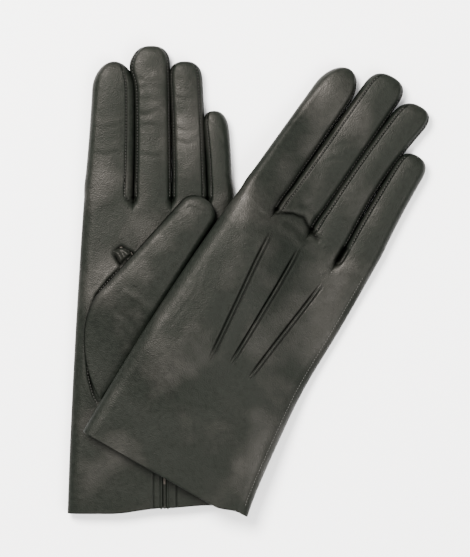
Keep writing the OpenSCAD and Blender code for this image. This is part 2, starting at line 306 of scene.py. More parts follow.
def hand_half(glove, u, v):
    """Half height of the hand at points: one pillow that turns into four lobes at the fingers."""
    low, high = glove.edges(v)
    pillow = section(u - low, high - u, 8.0, 8.0, crown=0.14)
    bounds = np.array(root_bounds(glove))
    share = (u - low) / (high - low) * (bounds[-1] - bounds[0]) + bounds[0]
    lobes = np.zeros_like(pillow)
    start = np.zeros_like(pillow)
    for i, (a, b) in enumerate(zip(bounds, bounds[1:])):
        inside = (share >= a) & (share <= b)
        lobe = section(
            np.maximum(share - a, 0), np.maximum(b - share, 0), *glove.bands[i]
        )
        before = glove.crotches[max(i - 1, 0)]
        after = glove.crotches[min(i, 2)]
        crotch = mix(before, after, smooth((share - a) / (b - a)))
        lobes = np.where(inside, lobe, lobes)
        start = np.where(inside, crotch, start)
    turned = smooth((v - start + VALLEY) / VALLEY) ** 1.6
    return mix(pillow, lobes, turned)


def marks(strokes, u, v):
    """Height of strokes at points, and the painted shade of the deeper grooves at each point, from 0 to
    1.
    """
    height = np.zeros(np.broadcast(u, v).shape)
    painted_shade = np.zeros_like(height)
    for path, width, rise in strokes:
        d, share = path_distance(u, v, path)
        ends = np.sqrt(np.clip(share * (1 - share) * 8, 0, 1))
        mark = ends * np.exp(-((d / width) ** 2))
        height = height + rise * mark
        if rise < -0.4:
            painted_shade = np.maximum(painted_shade, mark * min(1.0, -rise / 0.8))
    return height, painted_shade


def relief(glove, u, v):
    """Height of creases, seams, tucks and soft swells on the glove's upper face, and the painted shade
    in its grooves.
    """
    height, painted_shade = marks(glove.strokes, u, v)
    swell = 0.3 * waves(u, v, 60, 11) + 0.1 * waves(u, v, 17, 12)
    return height + swell, painted_shade


def finger_lines(glove, i, v):
    """Index-side and little-side edges of a finger at v, from the hand's end to where its tip rounds."""
    root, tip, tip_v, w_root, w_tip, bow, waist, _ = glove.fingers[i]
    t = (v - glove.hand_len) / (tip_v - glove.hand_len)
    arch = np.sin(math.pi * np.clip(t, 0, 1))
    centre = mix(root, tip, t) + bow * arch
    half = mix(w_root, w_tip, t) - waist * arch
    low = centre - half - (TOUCHING if i > 0 else 0)
    high = centre + half + (TOUCHING if i < 3 else 0)
    if (glove.side, i) == ("left", 1):
        low -= 2.4 * math.exp(-(((v - 247) / 7) ** 2))
    bounds = root_bounds(glove)
    grown = smooth((v - glove.hand_len) / 14)
    return mix(bounds[i], low, grown), mix(bounds[i + 1], high, grown)


def ring_of(u, v, top, bottom, painted_shade=0.0):
    """One closed row of u, v, h and painted shade: over the top from the index side, and back beneath.
    """
    painted_shade = painted_shade + np.zeros_like(u)
    over = np.stack([u, v, top, painted_shade], -1)
    under = np.stack([u, v, bottom, 0 * painted_shade], -1)
    return np.concatenate([over, under[-2:0:-1]])


def crotch_shadow(glove, at_root, v):
    """1 down in the crotches between the fingers, where no light reaches."""
    shadow = np.zeros_like(at_root)
    for bound, crotch in zip(root_bounds(glove)[1:-1], glove.crotches):
        beside = np.exp(-(((at_root - bound) / 1.8) ** 2))
        shadow = np.maximum(shadow, beside * smooth((v - crotch + 3) / 3))
    return shadow


def hand_row(glove, v, inset=0.0):
    """One closed row of the hand. An inset row lies inside the leather."""
    bounds = root_bounds(glove)
    pieces = []
    for i, (a, b) in enumerate(zip(bounds, bounds[1:])):
        shares = column_shares(*glove.bands[i], b - a)
        pieces.append((a + (b - a) * shares)[: None if i == 3 else -1])
    at_root = np.concatenate(pieces)
    share = (at_root - bounds[0]) / (bounds[-1] - bounds[0])
    outer_low, outer_high = glove.edges(v)
    low, high = outer_low + inset, outer_high - inset
    u = low + (high - low) * share
    vv = v + glove.cuff_shift(u, v)
    middle = HAND_THICK / 2
    half = (middle - inset) * hand_half(glove, outer_low + (outer_high - outer_low) * share, v)
    if inset:
        return ring_of(u, vv, middle + half, middle - half)
    height, painted_shade = relief(glove, u, vv)
    # Painted shade: the deeper grooves, the valleys between the finger lobes away from the hand's edges,
    # and down in the crotches.
    valley_shade = 1 - smooth(half / middle * 1.6)
    inside = smooth(np.minimum(u - low, high - u) / 6)
    return ring_of(
        u,
        vv,
        middle + half + height * smooth(half / 2),
        middle - half,
        np.maximum.reduce([painted_shade, valley_shade * inside, crotch_shadow(glove, at_root, vv)]),
    )


def finger_row(glove, i, v, squeeze=1.0, inset=0.0):
    """One closed row of a finger; squeeze narrows the rows of its rounded tip."""
    a, b = finger_lines(glove, i, v)
    band_a, band_b = glove.bands[i]
    share = column_shares(band_a, band_b, b - a)
    width, centre = (b - a) * squeeze - 2 * inset, (a + b) / 2
    u = centre + (share - 0.5) * width
    full = section(share * (b - a), (1 - share) * (b - a), band_a, band_b)
    thick = mix(HAND_THICK, FINGER_THICK, smooth((v - glove.hand_len) / 20)) / 2
    half = (thick - inset) * full * math.sqrt(squeeze)
    vv = np.full_like(u, v)
    if inset:
        return ring_of(u, vv, thick + half, thick - half)
    edge = smooth(half / 2) * (0.4 + 0.6 * squeeze)
    dip = seam_dip(glove, i, share * (b - a), (1 - share) * (b - a))
    dip = dip * smooth((v - glove.hand_len) / 6) * squeeze
    height, painted_shade = relief(glove, u, vv)
    # Painted shade on the sides that face another finger and along the seam dips, which also sink the
    # leather.
    side = (1 - smooth(half / thick * 1.25)) * inner_side(i, share)
    top = thick + half + height * edge - 0.5 * dip
    painted_shade = np.maximum.reduce([painted_shade, dip, side])
    return ring_of(u, vv, top, thick - half + 0.3 * dip, painted_shade)


def inner_side(i, share):
    """1 on the sides of a finger that face another finger, where shade is painted."""
    return np.where(share < 0.5, float(i > 0), float(i < 3))


def seam_dip(glove, i, distance_a, distance_b):
    """How deep the seams beside a finger's strips dip, from 0 to 1."""
    band_a, band_b = glove.bands[i]
    dip = np.zeros_like(distance_a)
    if i > 0:
        dip = dip + np.exp(-(((distance_a - band_a) / 0.42) ** 2))
    if i < 3:
        dip = dip + np.exp(-(((distance_b - band_b) / 0.42) ** 2))
    return dip


def finger_rows(glove, i, step, inset=0.0):
    """The closed rows of a finger from its root to its blunt tip."""
    tip_v, tip_len = glove.fingers[i][2], glove.fingers[i][7]
    body = tip_v - tip_len
    rows = []
    for v in np.linspace(
        glove.hand_len, body, max(2, round((body - glove.hand_len) / step))
    ):
        rows.append(finger_row(glove, i, v, inset=inset))
    blunt = 2.0 if i == 0 else 2.6
    for angle in np.radians(np.linspace(8, 88, TIP_ROWS)):
        reach = math.sin(angle)
        narrowed = (1 - reach**blunt) ** (1 / blunt)
        v = body + (tip_len - inset) * reach
        rows.append(finger_row(glove, i, v, narrowed, inset))
    return rows


class Surface:
    """A mesh built from closed rows, whose pieces share their normals where they meet."""

    def __init__(self, glove):
        self.glove = glove
        self.points = []
        self.faces = {}

    def rows(self, rows, name_of, first=None, close=False, flip=False):
        """Adds rows of equal length. first holds the vertex numbers of a row that exists already."""
        previous = first
        for number, row in enumerate(rows):
            if number == 0 and first is not None:
                continue
            start = len(self.points)
            self.points.extend(row)
            current = list(range(start, start + len(row)))
            if previous is not None:
                for j in range(len(row)):
                    k = (j + 1) % len(row)
                    face = (previous[j], previous[k], current[k], current[j])
                    self.add(name_of(number, j), face, flip)
            previous = current
        if close:
            centre = len(self.points)
            self.points.append(np.mean([self.points[k] for k in previous], axis=0))
            for j in range(len(previous)):
                k = (j + 1) % len(previous)
                face = (previous[j], previous[k], centre)
                self.add(name_of(len(rows), j), face, flip)
        return previous

    def add(self, name, face, flip):
        self.faces.setdefault(name, []).append(face[::-1] if flip else face)

    def objects(self):
        """One object for each name, with the normals of the whole surface."""
        local = np.array(self.points)
        points = self.glove.world(local[:, 0], local[:, 1], local[:, 2])
        normals = np.zeros_like(points)
        every = [face for faces in self.faces.values() for face in faces]
        for corners in (3, 4):
            faces = np.array([f for f in every if len(f) == corners], int)
            if not len(faces):
                continue
            p = [points[faces[:, k]] for k in range(corners)]
            facing = np.cross(p[2] - p[0], p[3] - p[1]) if corners == 4 else np.cross(
                p[1] - p[0], p[2] - p[0]
            )
            for k in range(corners):
                np.add.at(normals, faces[:, k], facing)
        normals /= np.maximum(np.linalg.norm(normals, axis=1), 1e-12)[:, None]
        made = {}
        for name, faces in self.faces.items():
            used = sorted({k for face in faces for k in face})
            number = {k: n for n, k in enumerate(used)}
            obj = mesh_object(
                name, points[used], [[number[k] for k in face] for face in faces]
            )
            obj.data.normals_split_custom_set_from_vertices(normals[used])
            # Each vertex carries how much shade is painted on it.
            painted_shade = obj.data.attributes.new("painted_shade", "FLOAT", "POINT")
            painted_shade.data.foreach_set("value", local[used, 3].astype(np.float32))
            made[name] = obj
        return made


def mesh_object(name, points, faces):
    """A smooth-shaded object in the scene, from points in metres."""
    mesh = bpy.data.meshes.new(name)
    mesh.from_pydata([tuple(p) for p in points], [], faces)
    mesh.polygons.foreach_set("use_smooth", [True] * len(mesh.polygons))
    mesh.validate()
    obj = bpy.data.objects.new(name, mesh)
    bpy.context.scene.collection.objects.link(obj)
    return obj


def column_name(i, j, in_tip, panel, strips):
    """The piece that face j of a finger's row belongs to."""
    count = 2 * SIDE_STEPS + PANEL_STEPS
    column = j if j < count else 2 * count - j - 1
    on_strip = (column < SIDE_STEPS and i > 0) or (
        column >= count - SIDE_STEPS and i < 3
    )
    return strips if on_strip and not in_tip else panel


def finger_root(i, last):
    """The vertices of the hand's last row at which finger i starts, in the finger's own order."""
    count = 2 * SIDE_STEPS + PANEL_STEPS
    over = 4 * count + 1
    top = [last[k] for k in range(i * count, (i + 1) * count + 1)]
    under = [
        last[over + (over - 2 - k)]
        for k in range((i + 1) * count - 1, i * count, -1)
    ]
    return top + under


def glove_skin(glove):
    """The outer leather of the hand and fingers and the hem, as one surface cut into pieces."""
    skin = Surface(glove)
    side = glove.side
    rows = [
        hand_row(glove, v)
        for v in np.linspace(0, glove.hand_len, round(glove.hand_len / ROW_STEP))
    ]
    last = skin.rows(rows, lambda number, j: f"{side}_hand_skin")
    for i, finger in enumerate(FINGERS):
        rows = finger_rows(glove, i, ROW_STEP)
        tip_from = len(rows) - TIP_ROWS
        panel, strips = f"{side}_{finger}_skin", f"{side}_{finger}_strips"
        skin.rows(
            rows,
            lambda number, j, i=i, tip_from=tip_from, panel=panel, strips=strips: (
                column_name(i, j, number >= tip_from, panel, strips)
            ),
            first=finger_root(i, last),
            close=True,
        )
    rim = list(range(len(last)))
    hem = [None] + [
        hand_row(glove, v, inset)
        for v, inset in (
            (-0.35, 0.25),
            (-0.4, 0.75),
            (0.3, 1.1),
            *((v, 1.2) for v in np.linspace(1.5, HEM_DEPTH, 8)),
        )
    ]
    skin.rows(hem, lambda number, j: f"{side}_hem_skin", first=rim, flip=True)
    return skin.objects()


def lining_tube(glove, name, rows, close, flip):
    """A lining in one piece through the given rows."""
    tube = Surface(glove)
    tube.rows(rows, lambda number, j: name, close=close, flip=flip)
    return tube.objects()[name]


def top_height(glove, u, v):
    """Height of the hand's upper face at points."""
    half = HAND_THICK / 2 * hand_half(glove, u, v)
    return HAND_THICK / 2 + half + relief(glove, u, v)[0] * smooth(half / 2)


def under_height(glove, u, v):
    return HAND_THICK / 2 * (1 - hand_half(glove, u, v))


def ribbon(name, glove, paths, width, rise, surface, down=False):
    """Raised strips of leather along paths on the glove, pointed at both ends."""
    points, faces = [], []
    for path in paths:
        line = np.array(curve_through(path, 0.8))
        run = np.gradient(line, axis=0)
        run /= np.linalg.norm(run, axis=1)[:, None]
        aside = np.stack([run[:, 1], -run[:, 0]], 1)
        share = np.linspace(0, 1, len(line))
        taper = np.clip(np.minimum(share, 1 - share) * 14, 0.12, 1) ** 0.5
        first = len(points)
        offsets = np.linspace(-1, 1, 9)
        for at, side, size in zip(line, aside, taper):
            u = at[0] + side[0] * offsets * width / 2 * size
            v = at[1] + side[1] * offsets * width / 2 * size
            bump = rise * size * np.sqrt(np.maximum(1 - offsets**2, 0)) - 0.08
            h = surface(glove, u, v) + (-bump if down else bump)
            points.extend(np.stack([u, v, h], 1))
        for r in range(len(line) - 1):
            for c in range(8):
                a = first + r * 9 + c
                quad = (a, a + 1, a + 10, a + 9)
                faces.append(quad[::-1] if down else quad)
    local = np.array(points)
    return mesh_object(name, glove.world(local[:, 0], local[:, 1], local[:, 2]), faces)


def stitches(name, glove, lines, pitch=1.7, size=(0.55, 0.14, 0.12)):
    """Small thread beads along lines of local points."""
    rings = ((-1, 0.05), (-0.6, 0.8), (0, 1), (0.6, 0.8), (1, 0.05))
    points, faces = [], []
    for line in lines:
        at = glove.world(*np.array(line).T) / MM
        gone = np.concatenate(
            [[0], np.cumsum(np.linalg.norm(np.diff(at, axis=0), axis=1))]
        )
        for s in np.arange(pitch / 2, gone[-1], pitch):
            centre = [np.interp(s, gone, at[:, k]) for k in range(3)]
            ahead = [
                np.interp(min(s + 0.5, gone[-1]), gone, at[:, k]) for k in range(3)
            ]
            along = np.array(ahead) - centre
            along /= max(np.linalg.norm(along), 1e-9)
            aside = np.cross(along, (0, 0, 1))
            aside /= max(np.linalg.norm(aside), 1e-9)
            up = np.cross(aside, along)
            first = len(points)
            for x, r in rings:
                for k in range(6):
                    angle = k * math.pi / 3
                    points.append(
                        np.array(centre)
                        + along * x * size[0]
                        + aside * math.cos(angle) * r * size[1]
                        + up * math.sin(angle) * r * size[2]
                    )
            for n in range(len(rings) - 1):
                for k in range(6):
                    m = (k + 1) % 6
                    faces.append(
                        (
                            first + n * 6 + k,
                            first + n * 6 + m,
                            first + n * 6 + 6 + m,
                            first + n * 6 + 6 + k,
                        )
                    )
    return mesh_object(name, np.array(points) * MM, faces)


def quirk_patch(name, glove, outline, surface, down=False):
    """The small diamond gusset beside the thumb, pinched into two folds."""
    corners = np.array(curve_through([*outline, outline[0]], 0.7))[:-1]
    centre = np.mean(corners, axis=0)
    points, faces = [], []
    shares = np.linspace(0, 1, 10)
    for share in shares:
        ring = centre + (corners - centre) * share
        fold = 0.7 * np.sin((ring[:, 0] + ring[:, 1] * 0.6) * 1.1) * (1 - share**2)
        puff = 1.0 * (1 - share**4) - 0.3
        bump = fold + puff
        h = surface(glove, ring[:, 0], ring[:, 1]) + (
            -0.3 * bump if down else bump
        )
        points.extend(np.column_stack([ring, h]))
    count = len(corners)
    for r in range(len(shares) - 1):
        for k in range(count):
            a, b = r * count + k, r * count + (k + 1) % count
            quad = (a, a + count, b + count, b)
            faces.append(quad if down else quad[::-1])
    local = np.array(points)
    return mesh_object(name, glove.world(local[:, 0], local[:, 1], local[:, 2]), faces)


# The left thumb lies on its palm beside the upper glove: t runs along it from its base
THUMB_START = np.array([-30.8, 60.5])
THUMB_ALONG = np.array([0.538, 0.843])
THUMB_ASIDE = np.array([-0.843, 0.538])
THUMB_LENGTH = 126.5
THUMB_TIP = 9.0
THUMB_CLEAR = -0.6


def thumb_width(t):
    if t < 48:
        return 33.4 * (1 - (1 - max(t, 0.6) / 48) ** 2) ** 0.85
    return 33.4 - 0.17 * (t - 48)


def lying_thumb_row(t, squeeze=1.0, inset=0.0):
    """One closed row of the left thumb, from its outer edge to the upper glove."""
    width = thumb_width(min(t, THUMB_LENGTH - THUMB_TIP)) - THUMB_CLEAR
    share = column_shares(4.5, 2.6, max(width, 9.5))
    full = section(share * width, (1 - share) * width, 4.5, 2.6, crown=0.28)
    shown = (width * squeeze - 2 * inset) * (share - 0.5)
    lateral = THUMB_CLEAR + width / 2 - shown
    u = THUMB_START[0] + t * THUMB_ALONG[0] + lateral * THUMB_ASIDE[0]
    v = THUMB_START[1] + t * THUMB_ALONG[1] + lateral * THUMB_ASIDE[1]
    thick = THUMB_THICK / 2 * mix(0.14, 1, float(smooth((t - 12) / 66))) - inset
    half = thick * full * math.sqrt(squeeze)
    middle = HAND_THICK - 0.1 + thick
    if inset:
        return ring_of(u, v, middle + half, middle - half)
    height, painted_shade = marks(THUMB_FOLDS, u, v)
    height = height + 0.25 * waves(u, v, 40, 21) + 0.08 * waves(u, v, 12, 22)
    # Painted shade on the thumb's rounded sides.
    side = 1 - smooth(half / thick * 1.5)
    top = middle + half + height * smooth(half / 2)
    return ring_of(u, v, top, middle - half, np.maximum(painted_shade, side))


def tucked_thumb_row(v, squeeze=1.0, inset=0.0):
    """One closed row of the right thumb, which is folded under its palm."""
    (u0, v0), (u1, v1) = TUCKED_THUMB
    t = (v - v0) / (v1 - v0)
    width = 2 * (
        mix(7, 11.5, float(smooth(t * 2.4))) - 1.5 * float(smooth(t * 1.2 - 0.2))
    )
    share = column_shares(4.0, 4.0, width)
    half = (TUCKED_THICK / 2 - inset) * section(
        share * width, (1 - share) * width, 4.0, 4.0
    )
    half = half * mix(0.5, 1, float(smooth(t * 2.4))) * math.sqrt(squeeze)
    u = mix(u0, u1, t) + (share - 0.5) * (width * squeeze - 2 * inset)
    middle = -0.5 - TUCKED_THICK / 2
    return ring_of(u, np.full_like(u, v), middle + half, middle - half)


def thumb_rows(glove, step, inset=0.0):
    """The closed rows of a glove's thumb from its base to its rounded tip."""
    if glove.side == "left":
        row, start, tip, rounding = lying_thumb_row, 0.6, THUMB_LENGTH, THUMB_TIP
    else:
        row, start, tip, rounding = tucked_thumb_row, 64.0, 132.0, 10.0
    body = tip - rounding
    start = start + (3 if inset else 0)
    rows = [
        row(t, inset=inset)
        for t in np.linspace(start, body, round((body - start) / step))
    ]
    for angle in np.radians(np.linspace(8, 88, TIP_ROWS)):
        rows.append(
            row(
                body + (rounding - inset) * math.sin(angle),
                math.cos(angle),
                inset,
            )
        )
    return rows


def crease(path, depth, width=1.3):
    """A shallow groove with a softer fold of leather above it."""
    above = [(u, v + 2.6) for u, v in path]
    return [(path, width, -0.26 * depth), (above, 2.4, 0.2 * depth)]


def moved(path, aside):
    return [(u + aside, v) for u, v in path]


LEFT_CREASES = (
    ([(-11, 240.5), (-3, 238.5), (7, 240)], 0.55),
    ([(-11, 234), (-4, 236), (6, 234.5)], 0.45),
    ([(-10, 229), (0, 227.5), (7, 229)], 0.4),
    ([(-11, 222), (-5, 219.5), (1, 222.5), (7, 220)], 0.75),
    ([(-11, 213), (-2, 214.5), (7, 213)], 0.5),
    ([(-10, 198), (-1, 196.5), (8, 198)], 0.55),
    ([(10, 230), (17, 228.5), (24, 230.5)], 0.45),
    ([(10, 212.5), (18, 211), (25, 213)], 0.5),
    ([(10, 206), (18, 203.5), (26, 206.5)], 0.7),
    ([(-37, 214), (-28, 212.5), (-18, 214.5)], 0.4),
    ([(-38, 199), (-28, 197.5), (-18, 199.5)], 0.45),
    ([(29, 217), (35, 210.5), (40, 202)], 0.7),
    ([(-46, 60), (-41, 90), (-40, 112)], 0.5),
    ([(-20, 48), (-12, 30), (-8, 12)], 0.45),
    ([(-36, 40), (-24, 28), (-18, 12)], 0.4),
    ([(20, 20), (28, 30), (34, 48)], 0.4),
)
LEFT_VENT = (
    (-0.8, 0.45, -0.5),
    (2.8, 0.4, -0.5),
    (5.4, 0.8, -2.6),
    (7.9, 0.4, -0.5),
    (12.0, 0.45, -0.5),
)
THUMB_SEAM = (
    (-17.6, 135.6),
    (-25.2, 128),
    (-32.5, 118.7),
    (-36.4, 105.3),
    (-38.1, 88.5),
    (-37.5, 74.5),
    (-34.7, 63.3),
    (-31.9, 57.7),
)
LEFT_QUIRK = ((-24, 143.4), (-19, 146), (-12.5, 142.2), (-19.2, 136.4))
RIGHT_QUIRK = ((-24.4, 143), (-22.4, 150.2), (-18.4, 148), (-18.9, 142.2))
THUMB_FOLDS = (
    ([(10, 165), (20, 168), (31, 164)], 1.2, -0.3),
    ([(-18, 121), (-8, 116), (2, 106)], 2.2, 0.35),
    ([(-24, 112), (-14, 104), (-8, 94)], 1.8, -0.25),
)
TUCKS = (
    ((-13.5, 144), (-12.6, 125), (-10.6, 98), (-8.2, 65.5)),
    ((4.8, 143.5), (4.6, 120), (4.0, 95), (3.2, 69.5)),
    ((25.7, 133), (23.2, 115), (19.6, 92), (16.1, 67)),
)
RIGHT_CREASES = (
    ([(-7.7, 192.5), (-3, 197), (2.4, 199.7)], 0.5),
    ([(-7.9, 200), (-4.7, 205.4), (0.8, 210)], 0.35),
    ([(-5.7, 165.4), (-3.1, 169.9), (1.2, 171.3)], 0.6),
    ([(-10, 176), (-4, 179), (2, 178)], 0.3),
    ([(10, 181), (12.7, 181.9), (18.5, 184.2)], 0.4),
    ([(9, 170), (14, 168), (22, 171)], 0.35),
    ([(8, 206), (15, 204), (22, 207)], 0.3),
    ([(28, 206), (36, 204), (44, 206)], 0.35),
    ([(31, 216), (37, 213), (43, 215)], 0.35),
    ([(-36, 203), (-29, 206), (-23, 204)], 0.35),
    ([(-26.2, 150.7), (-22, 150.6), (-17.8, 152.3)], 0.9),
    ([(-40, 120), (-34, 96), (-37, 70)], 0.5),
    ([(34, 120), (38, 92), (36, 64)], 0.45),
    ([(-30, 44), (-12, 36), (8, 42)], 0.35),
    ([(-44, 24), (-30, 12), (-20, 3)], 0.35),
)
# The deep pucker from crotch to crotch at the knuckles, and the soft folds below it
KNUCKLE_FOLDS = (
    ([(-16, 155.5), (-8.4, 159.2), (-1.8, 160.3), (3.2, 157), (12.8, 152.7)], 1.0, -0.7),
    ([(-14, 153), (-6, 153.5), (2, 151.5), (8, 149)], 1.6, -0.35),
    ([(-11.7, 150.7), (-3, 149.5), (6.1, 146.4)], 2.6, 0.5),
    ([(-9, 163), (-2, 164.5), (4, 162)], 2.0, 0.4),
    ([(8, 158), (15, 156), (22, 152)], 1.8, 0.3),
)


def crotch_seams(glove):
    """The seams of two neighbouring fingers, joined in a U below their crotch."""
    bounds = root_bounds(glove)
    for i, crotch in enumerate(glove.crotches):
        u = bounds[i + 1]
        a, b = u - glove.bands[i][1], u + glove.bands[i + 1][0]
        end = crotch - 3.0
        path = [(a, crotch + 9), (a, crotch + 1), (mix(a, u, 0.35), crotch - 2)]
        path += [(u, end), (mix(b, u, 0.35), crotch - 2), (b, crotch + 1)]
        path.append((b, crotch + 9))
        glove.strokes.append((path, 0.55, -0.55))


for glove in (left, right):
    crotch_seams(glove)
for path, depth in LEFT_CREASES:
    left.strokes += crease(path, depth)
for u, width, rise in LEFT_VENT:
    left.strokes.append(([(u, -8), (u - 0.2, VENT_LENGTH + 2)], width, rise))
left.strokes.append((list(THUMB_SEAM), 0.9, -0.9))
left.strokes.append((moved(THUMB_SEAM, -2.4), 1.6, 0.2))
left.strokes.append(([*LEFT_QUIRK, LEFT_QUIRK[0]], 1.0, -1.3))
for path, depth in RIGHT_CREASES:
    right.strokes += crease(path, depth)
right.strokes += KNUCKLE_FOLDS
for path in TUCKS:
    right.strokes.append((list(path), 3.2, 0.4))
    right.strokes.append((moved(path, -1.15), 0.5, -0.8))
    right.strokes.append((moved(path, 1.15), 0.45, -0.5))


class Nodes:
    """A small helper that adds shader nodes to one material."""

    def __init__(self, name):
        self.material = bpy.data.materials.new(name)
        self.material.use_nodes = True
        self.tree = self.material.node_tree
        self.shader = self.tree.nodes["Principled BSDF"]

    def add(self, kind, **inputs):
        """A new node, whose inputs take values or other nodes' outputs."""
        node = self.tree.nodes.new(kind)
        for key, value in inputs.items():
            socket = node.inputs[key.replace("_", " ")]
            if isinstance(value, bpy.types.NodeSocket):
                self.tree.links.new(value, socket)
            else:
                socket.default_value = value
        return node

    def set(self, **inputs):
        """Sets or links inputs of the material's surface shader."""
        for key, value in inputs.items():
            socket = self.shader.inputs[key.replace("_", " ")]
            if isinstance(value, bpy.types.NodeSocket):
                self.tree.links.new(value, socket)
            else:
                socket.default_value = value

    def ramp(self, value, low, high, dark, light):
        """A value mapped from the range low to high onto dark to light."""
        node = self.add("ShaderNodeMapRange", Value=value)
        node.inputs["From Min"].default_value = low
        node.inputs["From Max"].default_value = high
        node.inputs["To Min"].default_value = dark
        node.inputs["To Max"].default_value = light
        return node.outputs["Result"]

    def blend(self, factor, a, b):
        """A colour from a to b by a factor."""
        node = self.tree.nodes.new("ShaderNodeMix")
        node.data_type = "RGBA"
        for socket, value in zip(
            (node.inputs[0], node.inputs[6], node.inputs[7]), (factor, a, b)
        ):
            if isinstance(value, bpy.types.NodeSocket):
                self.tree.links.new(value, socket)
            else:
                socket.default_value = value
        return node.outputs[2]


def leather_material(name, dark, highlight_colour, rough):
    """Glazed glove leather: grain, fine creases, warm patches of painted highlight and painted shade in
    its grooves.
    """
    made = Nodes(name)
    place = made.add("ShaderNodeTexCoord").outputs["Object"]
    patches = made.add("ShaderNodeTexNoise", Vector=place, Scale=32.0, Detail=4.0)
    mottle = made.add("ShaderNodeTexNoise", Vector=place, Scale=420.0, Detail=6.0)
    pores = made.add("ShaderNodeTexVoronoi", Vector=place, Scale=1500.0)
    wrinkles = made.add(
        "ShaderNodeTexNoise", Vector=place, Scale=190.0, Detail=8.0, Distortion=1.4
    )
    # Painted highlight: warm patches blended into the base colour.
    painted_highlight = made.ramp(patches.outputs["Fac"], 0.45, 0.68, 0.0, 0.6)
    colour = made.blend(painted_highlight, dark, highlight_colour)
    shade = made.ramp(mottle.outputs["Fac"], 0.3, 0.7, 0.82, 1.18)
    # Painted shade: the colour darkens down to 0.12 of itself where the vertices carry painted shade,
    # and the gloss fades there too.
    shade_node = made.tree.nodes.new("ShaderNodeAttribute")
    shade_node.attribute_name = "painted_shade"
    painted_shade = made.ramp(shade_node.outputs["Fac"], 0.05, 0.9, 1.0, 0.12)
    # The random mottle tone times the painted shade.
    depth = made.add("ShaderNodeMath", Value=shade)
    depth.operation = "MULTIPLY"
    made.tree.links.new(painted_shade, depth.inputs[1])
    toned = made.add("ShaderNodeVectorMath")
    toned.operation = "SCALE"
    made.tree.links.new(colour, toned.inputs[0])
    made.tree.links.new(depth.outputs[0], toned.inputs["Scale"])
    gloss = made.add(
        "ShaderNodeMath", Value=made.ramp(shade_node.outputs["Fac"], 0.1, 0.8, 1.0, 0.08)
    )
    gloss.operation = "MULTIPLY"
    polish = made.ramp(patches.outputs["Fac"], 0.5, 0.75, 0.075, 0.2)
    made.tree.links.new(polish, gloss.inputs[1])
    grain = made.add("ShaderNodeBump", Height=pores.outputs["Distance"])
    grain.inputs["Strength"].default_value = 0.3
    grain.inputs["Distance"].default_value = 0.0003
    lines = made.add(
        "ShaderNodeBump", Height=wrinkles.outputs["Fac"], Normal=grain.outputs["Normal"]
    )
    lines.inputs["Strength"].default_value = 0.22
    lines.inputs["Distance"].default_value = 0.0007
    made.set(
        Base_Color=toned.outputs[0],
        Roughness=made.ramp(mottle.outputs["Fac"], 0.3, 0.7, rough - 0.07, rough + 0.1),
        Normal=lines.outputs["Normal"],
        Specular_Tint=(1.0, 0.93, 0.87, 1.0),
        Specular_IOR_Level=gloss.outputs[0],
    )
    return made.material


def lining_material():
    """Soft knitted lining with fine ribs and a matt, slightly hairy surface."""
    made = Nodes("knit_lining")
    place = made.add("ShaderNodeTexCoord").outputs["Object"]
    ribs = made.add("ShaderNodeTexWave", Vector=place, Scale=420.0, Distortion=1.5)
    fuzz = made.add("ShaderNodeTexNoise", Vector=place, Scale=900.0, Detail=4.0)
    colour = made.blend(
        made.ramp(fuzz.outputs["Fac"], 0.3, 0.7, 0.0, 1.0),
        (0.022, 0.018, 0.014, 1.0),
        (0.06, 0.048, 0.038, 1.0),
    )
    bump = made.add("ShaderNodeBump", Height=ribs.outputs["Fac"])
    bump.inputs["Strength"].default_value = 0.6
    bump.inputs["Distance"].default_value = 0.0005
    made.set(Base_Color=colour, Roughness=0.95, Normal=bump.outputs["Normal"])
    made.set(Sheen_Weight=0.3)
    return made.material


def thread_material():
    """Dark twisted thread."""
    made = Nodes("thread")
    place = made.add("ShaderNodeTexCoord").outputs["Object"]
    twist = made.add("ShaderNodeTexWave", Vector=place, Scale=1600.0)
    twist.bands_direction = "DIAGONAL"
    colour = made.blend(
        twist.outputs["Fac"], (0.012, 0.012, 0.01, 1.0), (0.045, 0.042, 0.036, 1.0)
    )
    made.set(Base_Color=colour, Roughness=0.6)
    return made.material


# Each leather gets its dark colour, the colour of its painted highlight and its roughness.
MATERIALS = {
    "glove_leather": leather_material(
        "glove_leather", (0.0042, 0.0054, 0.0041, 1.0), (0.0062, 0.0062, 0.005, 1.0), 0.42
    ),
    "gusset_leather": leather_material(
        "gusset_leather", (0.005, 0.0062, 0.0048, 1.0), (0.007, 0.0066, 0.0055, 1.0), 0.46
    ),
    "hem_leather": leather_material(
        "hem_leather", (0.0041, 0.0053, 0.004, 1.0), (0.006, 0.006, 0.0048, 1.0), 0.46
    ),
    "seam": thread_material(),
    "lining": lining_material(),
}


def dress(obj, slot, *nodes):
    """Gives a piece its finish, and hides the CAD nodes that it stands for."""
    obj.data.materials.append(MATERIALS[slot])
    if nodes:
        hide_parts(*nodes)
    return obj


